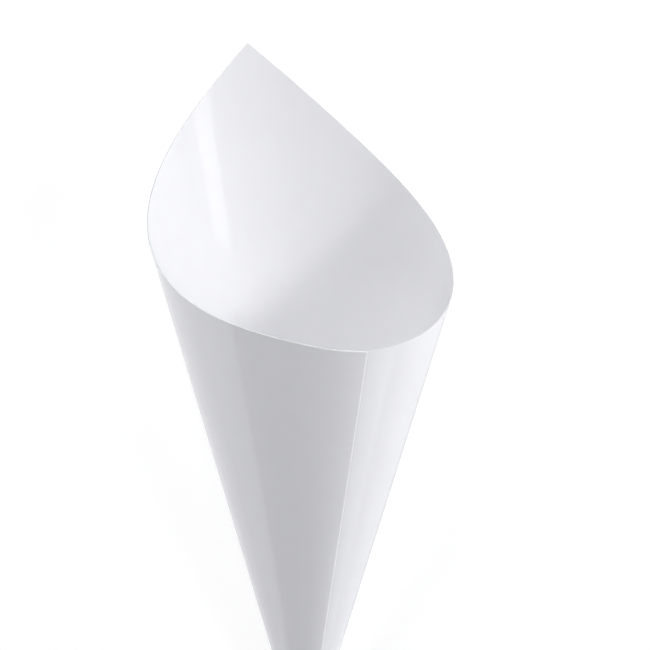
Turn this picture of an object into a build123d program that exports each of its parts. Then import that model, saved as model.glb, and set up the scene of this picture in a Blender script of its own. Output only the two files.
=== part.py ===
"""Paper snack cone: one kite of coated card, nearly square, rolled round its diagonal and glued.

One corner of the card is the tip and the opposite corner is the tall peak of the mouth.
The mouth's rim is the two straight sides that meet at the peak, wrapped round the roll.
The other two sides are the flaps' free edges: the outer one shows as the seam, the other is
hidden under the lap. The cone is built round its own axis, then laid down as it rests.
"""
import os
from math import ceil, cos, pi, radians, sin, sqrt, tan

from build123d import *

# The card
sheet_diagonal = 254.0
card_thickness = 0.35
peak_corner_angle = 90.0

# The roll: half angle at the tip, and how far it is pressed oval
mean_half_angle = 13.06
oval_share = 0.162
flat_side_turn = -34.4

# The lap: the outer flap's free edge, counted round from the peak, and the hidden flap beneath
seam_turn = 188.5
lap_width = 10.0
climb_start_turn = 20.0

# The tip
tip_blunting = 3.0
tip_closing = 1.5

# Fineness of the drawn curves
side_panels = 22
curve_stations = 3
nudge_share = 0.001
unroll_steps = 720

full_turn = 2 * pi
seam = radians(seam_turn)
seam_foot = seam - full_turn
peak_angle = radians(peak_corner_angle) / 2


def slope(turn):
    """Radius gained per length along the axis, on this side of the oval roll."""
    lobe = cos(2 * (turn - radians(flat_side_turn)))
    return tan(radians(mean_half_angle)) * (1 - oval_share * lobe)


def slope_change(turn):
    lobe_change = 2 * sin(2 * (turn - radians(flat_side_turn)))
    return tan(radians(mean_half_angle)) * oval_share * lobe_change


def across(turn):
    """Direction square to the roll's section, pointing out."""
    s, ds = slope(turn), slope_change(turn)
    return Vector(s * cos(turn) + ds * sin(turn), s * sin(turn) - ds * cos(turn), 0).normalized()


def along(turn):
    """Direction up the wall from the tip."""
    return Vector(slope(turn) * cos(turn), slope(turn) * sin(turn), 1).normalized()


def wall_normal(turn):
    s, ds = slope(turn), slope_change(turn)
    return (across(turn) * sqrt(s**2 + ds**2) - Vector(0, 0, s**2)).normalized()


def unroll_rate(turn):
    """Angle of flat sheet at the tip per angle of turn."""
    s, ds = slope(turn), slope_change(turn)
    return sqrt(s**2 + ds**2 + s**4) / (1 + s**2)


def stations(start, end, count):
    return [start + (end - start) * i / (count - 1) for i in range(count)]


def sheet_angle(turn):
    """Angle on the flat sheet between the diagonal and this line of the roll."""
    steps = max(2, ceil(unroll_steps * abs(turn) / full_turn))
    width = turn / steps
    return abs(sum(unroll_rate((i + 1 / 2) * width) for i in range(steps)) * width)


def rim_slant(turn):
    """Length from the tip to the card's straight cut side."""
    return sheet_diagonal * sin(peak_angle) / sin(peak_angle + sheet_angle(turn))


lap_turn = lap_width / (rim_slant(seam) * unroll_rate(seam))


def layer(turn):
    """How far the sheet has climbed over its own hidden flap, in card thicknesses."""
    climb = (turn - radians(climb_start_turn)) / (seam - lap_turn - radians(climb_start_turn))
    climb = min(max(climb, 0), 1)
    return climb**2 * (3 - 2 * climb)


def sheet_point(turn, slant, layers):
    """A point this far up the wall, moved out by so many card thicknesses."""
    return along(turn) * slant + wall_normal(turn) * (layers * card_thickness)


def foot_point(turn, height, layers):
    """The same line of the wall where it meets a level cut across the tip."""
    sunk = wall_normal(turn).Z * layers * card_thickness
    return sheet_point(turn, (height - sunk) / along(turn).Z, layers)


def smooth_curve(place, start, end):
    """A smooth line through a formula of the turn, with the formula's own end directions."""
    turns = stations(start, end, curve_stations)
    nudge = (end - start) * nudge_share
    headings = [place(turn + nudge) - place(turn - nudge) for turn in (start, end)]
    return Edge.make_spline(
        [place(turn) for turn in turns],
        tangents=headings,
        parameters=stations(0, 1, curve_stations),
    )


def foot_curve(span, height, face):
    return smooth_curve(lambda t: foot_point(t, height, layer(t) + face), *span)


def rim_curve(span, face, lapped_turn=0):
    """The card's straight cut side as it runs round the wall."""
    return smooth_curve(lambda t: sheet_point(t, rim_slant(t + lapped_turn), layer(t) + face), *span)


def spans(start, end, count):
    bounds = stations(start, end, count + 1)
    return list(zip(bounds, bounds[1:]))


# Stretches of the wall: round both sides of the peak, then the lap's outer and hidden flaps
body = spans(seam_foot, 0, side_panels) + spans(0, seam - lap_turn, side_panels)
outer_flap = (seam - lap_turn, seam)
hidden_flap = (seam_foot - lap_turn, seam_foot)
outer_face, inner_face = 0, -1
hollow_start = tip_blunting + tip_closing

# The card's outer face, its inner face and the two cut sides between them
outer_feet = [foot_curve(span, tip_blunting, outer_face) for span in [*body, outer_flap]]
inner_feet = [foot_curve(span, hollow_start, inner_face) for span in [hidden_flap, *body]]
outer_rims = [rim_curve(span, outer_face) for span in [*body, outer_flap]]
inner_rims = [rim_curve(hidden_flap, inner_face, full_turn)]
inner_rims += [rim_curve(span, inner_face) for span in body]
glue_rim = rim_curve(outer_flap, inner_face)

rulings = [*zip(outer_feet, outer_rims), *zip(inner_feet, inner_rims)]
rulings += [*zip(outer_rims, [*inner_rims[1:], glue_rim]), (glue_rim, inner_rims[0])]
skin = [Face.make_surface_from_curves(low, high) for low, high in rulings]

# The flaps' free edges along the roll, and the closed tip
outer_edge = Edge.make_line(outer_feet[-1] @ 1, outer_feet[0] @ 0)
inner_edge = Edge.make_line(inner_feet[-1] @ 1, inner_feet[0] @ 0)
skin.append(Face(Wire([*outer_feet, outer_edge])))
skin.append(Face(Wire([*inner_feet, inner_edge])))
seam_low, seam_top = glue_rim @ 1, inner_rims[0] @ 1
free_edges = (
    (outer_feet[0] @ 0, outer_feet[-1] @ 1, outer_rims[-1] @ 1, seam_low),
    (inner_feet[0] @ 0, inner_feet[-1] @ 1, glue_rim @ 0, inner_rims[0] @ 0),
    (seam_low, seam_top, inner_rims[1] @ 0, outer_rims[0] @ 0),
)
skin += [Face(Wire.make_polygon(corners, close=True)) for corners in free_edges]

with BuildPart() as roll:
    add(Solid(Shell(skin)), clean=False)

# The line it rests on: the one that brings the card's centre of mass lowest
sheet_turns = stations(seam_foot - lap_turn, seam, unroll_steps)
moment = sum((along(t) * (rim_slant(t) ** 3 * unroll_rate(t)) for t in sheet_turns), Vector(0, 0, 0))
area = sum(rim_slant(t) ** 2 * unroll_rate(t) for t in sheet_turns)
centre = moment * (2 / 3 / area)
rest_turn = max(stations(-pi, pi, unroll_steps + 1), key=lambda t: wall_normal(t).dot(centre))
floor_up = -wall_normal(rest_turn)
floor = Plane((0, 0, 0), x_dir=along(rest_turn).cross(floor_up), z_dir=floor_up)

lying = roll.part.moved(floor.location.inverse())
box = lying.bounding_box()
footing = Pos(-box.center().X, -box.center().Y, -box.min.Z)

with BuildPart() as paper_cone:
    add(lying.moved(footing), clean=False)

paper_cone.part.label = "paper_cone"
os.makedirs("parts", exist_ok=True)
export_step(paper_cone.part, "parts/paper_cone.step")
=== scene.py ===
"""Looks of the paper snack cone: the rolled card as a fine mesh, its coated finish, light and camera."""
from math import cos, pi, radians, sin, tan

import bpy
import numpy as np
from mathutils import Matrix, Vector


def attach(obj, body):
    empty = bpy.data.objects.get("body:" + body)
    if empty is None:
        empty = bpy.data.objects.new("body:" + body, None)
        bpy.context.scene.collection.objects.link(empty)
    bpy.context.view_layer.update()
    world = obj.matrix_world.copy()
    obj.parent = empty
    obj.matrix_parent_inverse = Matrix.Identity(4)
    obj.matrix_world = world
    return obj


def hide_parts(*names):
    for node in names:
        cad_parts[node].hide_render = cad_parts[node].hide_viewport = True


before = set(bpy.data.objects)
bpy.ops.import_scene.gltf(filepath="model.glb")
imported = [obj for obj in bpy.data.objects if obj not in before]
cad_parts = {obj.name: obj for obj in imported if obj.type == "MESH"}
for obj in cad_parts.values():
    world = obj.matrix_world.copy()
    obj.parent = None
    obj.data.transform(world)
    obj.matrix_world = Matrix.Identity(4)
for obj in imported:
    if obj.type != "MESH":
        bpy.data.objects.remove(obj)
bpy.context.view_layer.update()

# The rolled card, in millimetres and radians, as in the part's source
MM = 0.001
FULL_TURN = 2 * pi
DIAGONAL = 254.0
CARD = 0.35
PEAK_ANGLE = radians(45.0)
HALF_ANGLE = radians(13.06)
OVAL = 0.162
FLAT_TURN = radians(-34.4)
SEAM = radians(188.5)
LAP_WIDTH = 10.0
CLIMB = radians(20.0)
TIP_BLUNT = 3.0
TIP_CLOSE = 1.5

# The line that it rests on, and the place of the roll's point in the frame
REST_TURN = radians(-25.5)
TIP = np.array([-1.4031, -127.8526, 0.0])

# The corner at the peak leans a hair to one side, which brings the rim almost level at the seam
PEAK_LEAN = radians(0.09)

# The stiff double card at the lap stands as a slight ridge along the seam
RIDGE = 0.002
RIDGE_TURN = radians(18.0)

# The outer flap's cut edge is pressed down, and its rounded border catches the light along the seam
PRESS_WIDTH = 0.5
PRESS_DROP = 0.10

# The hidden flap lies a hair inside the outer one, with the glue between them
GLUE_GAP = 0.01

# Fineness of the mesh, and slack in comparing turns
LAP_COLUMNS = 16
PRESS_COLUMNS = 8
SIDE_COLUMNS = 200
WALL_ROWS = 48
UNROLL_STEPS = 20000
TINY = 1e-9


# The form of the roll, at turns counted round from the peak
def slope(turns):
    """Radius gained per length along the axis, and its change with the turn."""
    away = (turns - SEAM + pi) % FULL_TURN - pi
    near = np.clip(1 - np.abs(away) / RIDGE_TURN, 0, 1)
    side = np.where(turns >= SEAM - TINY, -1.0, np.sign(away))
    side = np.where(side == 0, 1.0, side)
    lobe = 2 * (turns - FLAT_TURN)
    value = tan(HALF_ANGLE) * (1 - OVAL * np.cos(lobe) + RIDGE * near**2)
    change = tan(HALF_ANGLE) * (2 * OVAL * np.sin(lobe) - 2 * RIDGE * near * side / RIDGE_TURN)
    return value, change


def unit(vectors):
    """Each vector at a length of one."""
    return vectors / np.linalg.norm(vectors, axis=1)[:, None]


def along(turns):
    """Direction up the wall from the tip."""
    s, _ = slope(turns)
    return unit(np.stack([s * np.cos(turns), s * np.sin(turns), np.ones_like(turns)], 1))


def normal(turns):
    """Direction square to the wall, pointing out."""
    s, ds = slope(turns)
    sideways = s * np.cos(turns) + ds * np.sin(turns)
    forwards = s * np.sin(turns) - ds * np.cos(turns)
    return unit(np.stack([sideways, forwards, -(s**2)], 1))


def unroll_rate(turns):
    """Angle of flat sheet at the tip per angle of turn."""
    s, ds = slope(turns)
    return np.sqrt(s**2 + ds**2 + s**4) / (1 + s**2)


# The roll laid flat: angles on the sheet, summed up along the turn
ALL_TURNS = np.linspace(-FULL_TURN, FULL_TURN, UNROLL_STEPS + 1)
RATES = unroll_rate(ALL_TURNS)
UNROLLED = np.cumsum((RATES[1:] + RATES[:-1]) / 2 * (ALL_TURNS[1] - ALL_TURNS[0]))
UNROLLED = np.concatenate([[0], UNROLLED])
UNROLLED -= np.interp(0, ALL_TURNS, UNROLLED)


def sheet_angle(turns):
    """Angle on the flat sheet between the diagonal and this line of the roll."""
    return np.interp(turns, ALL_TURNS, UNROLLED)


def rim_slant(turns):
    """Length from the tip to the card's straight cut side."""
    corner = PEAK_ANGLE + PEAK_LEAN * np.sign(turns)
    return DIAGONAL * np.sin(corner) / np.sin(corner + np.abs(sheet_angle(turns)))


# The lap and its pressed border as turns, and the turn where the seam meets the wall beneath
LAP = LAP_WIDTH / float(rim_slant(SEAM) * unroll_rate(SEAM))
PRESS = LAP * PRESS_WIDTH / LAP_WIDTH
FOOT_TURN = SEAM - FULL_TURN


def layer(turns):
    """How far the sheet has climbed over its own hidden flap, in card thicknesses."""
    climb = np.clip((turns - CLIMB) / (SEAM - LAP - CLIMB), 0, 1)
    return climb**2 * (3 - 2 * climb)


# The frame that the cone lies in: along its resting line, and up from the floor
rest = np.array([REST_TURN])
axis_y = along(rest)[0]
axis_z = -normal(rest)[0]
LYING = np.stack([np.cross(axis_y, axis_z), axis_y, axis_z])


def lay(points):
    """Points of the roll, in millimetres, as they lie in the frame, in metres."""
    return (points @ LYING.T + TIP) * MM


# Columns of the card, as turns from the hidden flap's free edge round to the outer flap's, and its rows
flap = np.concatenate([
    np.linspace(-LAP, -PRESS, LAP_COLUMNS + 1)[:-1],
    np.linspace(-PRESS, 0, PRESS_COLUMNS + 1),
])
columns = np.concatenate([
    FOOT_TURN + flap[:-1],
    np.linspace(FOOT_TURN, 0, SIDE_COLUMNS + 1)[:-1],
    np.linspace(0, SEAM - LAP, SIDE_COLUMNS + 1)[:-1],
    SEAM + flap,
])
row_shares = np.linspace(0, 1, WALL_ROWS + 1)
hidden = columns < FOOT_TURN - TINY
rims = np.where(hidden, rim_slant(columns + FULL_TURN), rim_slant(columns))
angles = sheet_angle(columns)
steer = along(columns)
lean = normal(columns)


def face_points(offset, height):
    """One face of the card: each point's place on the roll and its place on the flat sheet."""
    foot = (height - lean[:, 2] * offset) / steer[:, 2]
    slant = foot[:, None] + (rims - foot)[:, None] * row_shares[None, :]
    rolled = steer[:, None, :] * slant[:, :, None] + (lean * offset[:, None])[:, None, :]
    flat = np.stack([slant * np.sin(angles)[:, None], slant * np.cos(angles)[:, None]], 2)
    return np.concatenate([rolled, flat], 2)


glue = np.where(hidden, GLUE_GAP, 0.0)
press = PRESS_DROP * np.clip(1 - (SEAM - columns) / PRESS, 0, 1) ** 2
outer = face_points(layer(columns) * CARD - glue - press, TIP_BLUNT)
inner = face_points((layer(columns) - 1) * CARD - glue, TIP_BLUNT + TIP_CLOSE)

# What the mesh is made of, and the two finishes by their place in its list
points, faces, finishes = [], [], []
COATED, CUT = 0, 1


def add_points(block):
    """Adds points and gives the number of the first."""
    first = sum(len(added) for added in points)
    points.append(block)
    return first


def grid(block, flip, finish):
    """Adds a grid of points, joined by quads."""
    count, depth = block.shape[:2]
    first = add_points(block.reshape(count * depth, -1))
    at = first + np.arange(count * depth).reshape(count, depth)
    a, b, c, d = at[:-1, :-1], at[1:, :-1], at[1:, 1:], at[:-1, 1:]
    quads = np.stack([a, d, c, b] if flip else [a, b, c, d], -1).reshape(-1, 4)
    faces.extend(quads.tolist())
    finishes.extend([finish] * len(quads))


def strip(first_line, second_line, flip):
    """Joins two lines of points by a strip of cut edge."""
    grid(np.stack([first_line, second_line], 1), flip, CUT)


def fan(ring, flip):
    """Closes a ring of points by triangles to its middle."""
    count = len(ring)
    first = add_points(np.concatenate([ring, ring.mean(0)[None]]))
    for i in range(count):
        start, end = first + i, first + (i + 1) % count
        faces.append([end, start, first + count] if flip else [start, end, first + count])
        finishes.append(CUT)


# Both faces of the card, the cut sides at the rim and the flaps' free edges
grid(outer, False, COATED)
grid(inner, True, COATED)
strip(outer[:, -1], inner[:, -1], False)
strip(outer[-1], inner[-1], True)
strip(outer[0], inner[0], False)

# The closed tip, outside and inside, and between the two flaps, so that the card is closed all round
fan(outer[~hidden, 0], True)
fan(inner[columns <= SEAM - LAP + TINY, 0], False)
hidden_foot, outer_foot = outer[:len(flap), 0], inner[-len(flap):, 0]
strip(hidden_foot, outer_foot, True)
fan(np.stack([hidden_foot[-1], outer_foot[-1], outer[-1, 0]]), False)
fan(np.stack([hidden_foot[0], outer_foot[0], inner[0, 0]]), True)

# The mesh, with the flat sheet as its map
SHEET_MAP = "flat_sheet"
rolled, flat = np.split(np.concatenate(points), [3], axis=1)
mesh = bpy.data.meshes.new("card_skin")
mesh.from_pydata(lay(rolled).tolist(), [], faces)
sheet_map = mesh.uv_layers.new(name=SHEET_MAP)
corners = np.zeros(len(mesh.loops), np.int32)
mesh.loops.foreach_get("vertex_index", corners)
sheet_map.data.foreach_set("uv", (flat[corners] * MM).astype(np.float32).ravel())
mesh.polygons.foreach_set("material_index", np.array(finishes, np.int32))
mesh.polygons.foreach_set("use_smooth", np.ones(len(faces), bool))
mesh.validate()
mesh.update()
card = bpy.data.objects.new("card_skin", mesh)
bpy.context.scene.collection.objects.link(card)

# Finishes: tints and gloss, and the texture's scales per metre of sheet
CARD_TINTS = (0.851, 0.852, 0.877, 1), (0.861, 0.862, 0.886, 1)
CARD_TINT_SPAN = 0.3, 0.7
CARD_ROUGHNESS = 0.40, 0.48
CARD_GLOSS = {"Specular IOR Level": 0.1, "Coat Weight": 0.6, "Coat Roughness": 0.09, "Coat IOR": 1.5}
MOTTLE_SCALE, MOTTLE_DETAIL = 160.0, 4.0
FIBRE_SCALE, FIBRE_DETAIL = 2400.0, 3.0
FIBRE_STRENGTH, FIBRE_HEIGHT = 0.05, 0.00002
EDGE_TINTS = (0.64, 0.642, 0.654, 1), (0.71, 0.712, 0.724, 1)
EDGE_TINT_SPAN = 0.0, 1.0
EDGE_GLOSS = {"Roughness": 0.85, "Specular IOR Level": 0.2}
STREAK_SCALE, STREAK_DETAIL = 1500.0, 2.0


def new_material(name):
    """A material with no nodes yet."""
    material = bpy.data.materials.new(name)
    material.use_nodes = True
    material.node_tree.nodes.clear()
    return material, material.node_tree.nodes, material.node_tree.links


def sheet_noise(nodes, links, scale, detail):
    """Noise that lies on the flat sheet and is rolled with it."""
    place = nodes.new("ShaderNodeUVMap")
    place.uv_map = SHEET_MAP
    noise = nodes.new("ShaderNodeTexNoise")
    noise.inputs["Scale"].default_value = scale
    noise.inputs["Detail"].default_value = detail
    links.new(place.outputs["UV"], noise.inputs["Vector"])
    return noise.outputs["Fac"]


def tinted_shader(nodes, links, noise, tints, span, gloss):
    """A shader whose colour follows the noise between two tints, with its gloss set."""
    ramp = nodes.new("ShaderNodeValToRGB")
    for stop, position, tint in zip(ramp.color_ramp.elements, span, tints):
        stop.position = position
        stop.color = tint
    shader = nodes.new("ShaderNodeBsdfPrincipled")
    for socket, value in gloss.items():
        shader.inputs[socket].default_value = value
    out = nodes.new("ShaderNodeOutputMaterial")
    links.new(noise, ramp.inputs["Fac"])
    links.new(ramp.outputs["Color"], shader.inputs["Base Color"])
    links.new(shader.outputs["BSDF"], out.inputs["Surface"])
    return shader


def coated_card():
    """White clay-coated card: faint formation mottle, fine coat texture and a soft gloss."""
    material, nodes, links = new_material("coated_card")
    mottle = sheet_noise(nodes, links, MOTTLE_SCALE, MOTTLE_DETAIL)
    fibre = sheet_noise(nodes, links, FIBRE_SCALE, FIBRE_DETAIL)
    shader = tinted_shader(nodes, links, mottle, CARD_TINTS, CARD_TINT_SPAN, CARD_GLOSS)
    rough = nodes.new("ShaderNodeMapRange")
    rough.inputs["To Min"].default_value, rough.inputs["To Max"].default_value = CARD_ROUGHNESS
    bump = nodes.new("ShaderNodeBump")
    bump.inputs["Strength"].default_value = FIBRE_STRENGTH
    bump.inputs["Distance"].default_value = FIBRE_HEIGHT
    links.new(mottle, rough.inputs["Value"])
    links.new(rough.outputs["Result"], shader.inputs["Roughness"])
    links.new(fibre, bump.inputs["Height"])
    links.new(bump.outputs["Normal"], shader.inputs["Normal"])
    return material


def cut_edge():
    """The cut through the card: bare white fibre, rough and slightly streaked."""
    material, nodes, links = new_material("cut_edge")
    streak = sheet_noise(nodes, links, STREAK_SCALE, STREAK_DETAIL)
    tinted_shader(nodes, links, streak, EDGE_TINTS, EDGE_TINT_SPAN, EDGE_GLOSS)
    return material


mesh.materials.append(coated_card())
mesh.materials.append(cut_edge())
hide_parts("paper_cone")
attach(card, "root")

# Floor, in metres: pale, and lifted to white for the camera, with the cone's shadow kept
FLOOR_COLOUR = (0.80, 0.80, 0.80, 1)
FLOOR_REACH = 40
FLOOR_DROP = 0.0003
FLOOR_LIFT = 0.455

# The coat mirrors it white to the left of the cone and greyer to the right
MIRROR_LIFT_LEFT, MIRROR_LIFT_RIGHT = 0.55, 0.14
MIRROR_REACH = 0.03


def combine(nodes, links, operation, *values):
    """The outcome of a Math node on numbers or other nodes' outputs."""
    node = nodes.new("ShaderNodeMath")
    node.operation = operation
    for socket, value in zip(node.inputs, values):
        if isinstance(value, bpy.types.NodeSocket):
            links.new(value, socket)
        else:
            socket.default_value = value
    return node.outputs["Value"]


def mirror_lift(nodes, links):
    """How far mirror rays see the floor lifted, from left to right."""
    place = nodes.new("ShaderNodeNewGeometry")
    sideways = nodes.new("ShaderNodeSeparateXYZ")
    lift = nodes.new("ShaderNodeMapRange")
    lift.interpolation_type = "SMOOTHSTEP"
    lift.inputs["From Min"].default_value = -MIRROR_REACH
    lift.inputs["From Max"].default_value = MIRROR_REACH
    lift.inputs["To Min"].default_value = MIRROR_LIFT_LEFT
    lift.inputs["To Max"].default_value = MIRROR_LIFT_RIGHT
    links.new(place.outputs["Position"], sideways.inputs["Vector"])
    links.new(sideways.outputs["X"], lift.inputs["Value"])
    return lift.outputs["Result"]


def floor_lift(nodes, links):
    """The lift towards white for camera and mirror rays, and none for the light that falls on the cone."""
    path = nodes.new("ShaderNodeLightPath").outputs
    seen = combine(nodes, links, "MULTIPLY", path["Is Camera Ray"], FLOOR_LIFT)
    mirror_ray = combine(nodes, links, "MAXIMUM", path["Is Glossy Ray"], path["Is Transmission Ray"])
    mirrored = combine(nodes, links, "MULTIPLY", mirror_ray, mirror_lift(nodes, links))
    return combine(nodes, links, "ADD", seen, mirrored)


def pale_floor():
    """A matt floor with a glow that only camera and mirror rays see."""
    material, nodes, links = new_material("pale_floor")
    diffuse = nodes.new("ShaderNodeBsdfDiffuse")
    diffuse.inputs["Color"].default_value = FLOOR_COLOUR
    glow = nodes.new("ShaderNodeEmission")
    both = nodes.new("ShaderNodeAddShader")
    out = nodes.new("ShaderNodeOutputMaterial")
    links.new(floor_lift(nodes, links), glow.inputs["Strength"])
    links.new(diffuse.outputs["BSDF"], both.inputs[0])
    links.new(glow.outputs["Emission"], both.inputs[1])
    links.new(both.outputs["Shader"], out.inputs["Surface"])
    return material


floor_corners = [(x * FLOOR_REACH, y * FLOOR_REACH, 0) for x, y in ((-1, -1), (1, -1), (1, 1), (-1, 1))]
floor_mesh = bpy.data.meshes.new("floor")
floor_mesh.from_pydata(floor_corners, [], [(0, 1, 2, 3)])
floor_mesh.materials.append(pale_floor())
floor = bpy.data.objects.new("floor", floor_mesh)
floor.location = (0, 0, -FLOOR_DROP)
bpy.context.scene.collection.objects.link(floor)

# World and soft lamps: name, azimuth and elevation in degrees, distance, width and height, and watts
WORLD = 0.10
WHITE, COOL = (1.0, 1.0, 1.0), (0.96, 0.965, 1.015)
AIM = Vector((0.0, 0.03, 0.03))
LAMPS = [
    ("right_strip", -8, 34.6, 1.3, 1.0, 0.345, 3.05),
    ("right_soft", -8, 28, 1.3, 1.0, 0.64, 0.4),
    ("right_key", 20, 14, 1.4, 0.3, 0.12, 6.1),
    ("right_low", 27, 11, 1.4, 0.3, 0.12, 4.05),
    ("right_front", -48, 10, 1.4, 1.2, 0.5, 4.4),
    ("left", 178, 8, 1.4, 0.9, 0.35, 5.3),
    ("left_high", 110, 32, 1.4, 0.6, 0.45, 9.35),
    ("left_front", -145, 10.5, 1.4, 1.43, 0.52, 3.0),
    ("top", 88, 58, 1.5, 0.9, 0.7, 3.4),
    ("front_high", -90, 65, 1.6, 1.2, 0.8, 1.6),
]

world = bpy.data.worlds.new("studio")
world.use_nodes = True
sky = world.node_tree.nodes["Background"]
sky.inputs["Color"].default_value = (*WHITE, 1)
sky.inputs["Strength"].default_value = WORLD
bpy.context.scene.world = world

for name, azimuth, elevation, distance, width, height, power in LAMPS:
    azimuth, elevation = radians(azimuth), radians(elevation)
    light = bpy.data.lights.new(name, "AREA")
    light.shape = "RECTANGLE"
    light.size, light.size_y = width, height
    light.energy = power
    light.color = COOL if "front" in name else WHITE
    lamp = bpy.data.objects.new(name, light)
    lamp.visible_camera = False
    way = Vector((cos(elevation) * cos(azimuth), cos(elevation) * sin(azimuth), sin(elevation)))
    lamp.location = AIM + way * distance
    lamp.rotation_mode = "QUATERNION"
    lamp.rotation_quaternion = (-way).to_track_quat("-Z", "Y")
    bpy.context.scene.collection.objects.link(lamp)

# Camera, as fitted to the photograph's outline: its angles to the upright cone
ELEVATION, AZIMUTH, ROLL = radians(27.042), radians(21.916), radians(0.2695)

# In pixels: the sheet's diagonal at the tip's distance, and the tip right of and below the picture's middle
SCALE, TIP_RIGHT, TIP_BELOW = 740.51, -20.045, 434.918
IMAGE_WIDTH = 650

# The sheet's diagonal as a share of the distance, the sensor in millimetres and the clipping in metres
NEARNESS_SHARE = 0.08
SENSOR_WIDTH = 36.0
CLIP_NEAR, CLIP_FAR = 0.05, 50.0

# From the fit's axes, right, ahead and up, to the roll's own
FIT_TO_ROLL = np.array([[0.0, 1.0, 0.0], [-1.0, 0.0, 0.0], [0.0, 0.0, 1.0]])

level = np.array([cos(AZIMUTH), -sin(AZIMUTH), 0.0])
ahead = np.array([sin(AZIMUTH) * cos(ELEVATION), cos(AZIMUTH) * cos(ELEVATION), -sin(ELEVATION)])
raised = np.array([sin(AZIMUTH) * sin(ELEVATION), cos(AZIMUTH) * sin(ELEVATION), cos(ELEVATION)])
right = cos(ROLL) * level + sin(ROLL) * raised
up = -sin(ROLL) * level + cos(ROLL) * raised
from_tip = (-TIP_RIGHT / SCALE * right + TIP_BELOW / SCALE * up - ahead / NEARNESS_SHARE) * DIAGONAL

camera_data = bpy.data.cameras.new("camera")
camera_data.sensor_width = SENSOR_WIDTH
camera_data.lens = SCALE / NEARNESS_SHARE / IMAGE_WIDTH * SENSOR_WIDTH
camera_data.clip_start, camera_data.clip_end = CLIP_NEAR, CLIP_FAR
camera = bpy.data.objects.new("camera", camera_data)
facing = Matrix([LYING @ FIT_TO_ROLL @ axis for axis in (right, up, -ahead)]).transposed()
camera.matrix_world = Matrix.Translation(Vector(lay(FIT_TO_ROLL @ from_tip))) @ facing.to_4x4()
bpy.context.scene.collection.objects.link(camera)
bpy.context.scene.camera = camera

bpy.context.scene.view_settings.view_transform = "Standard"
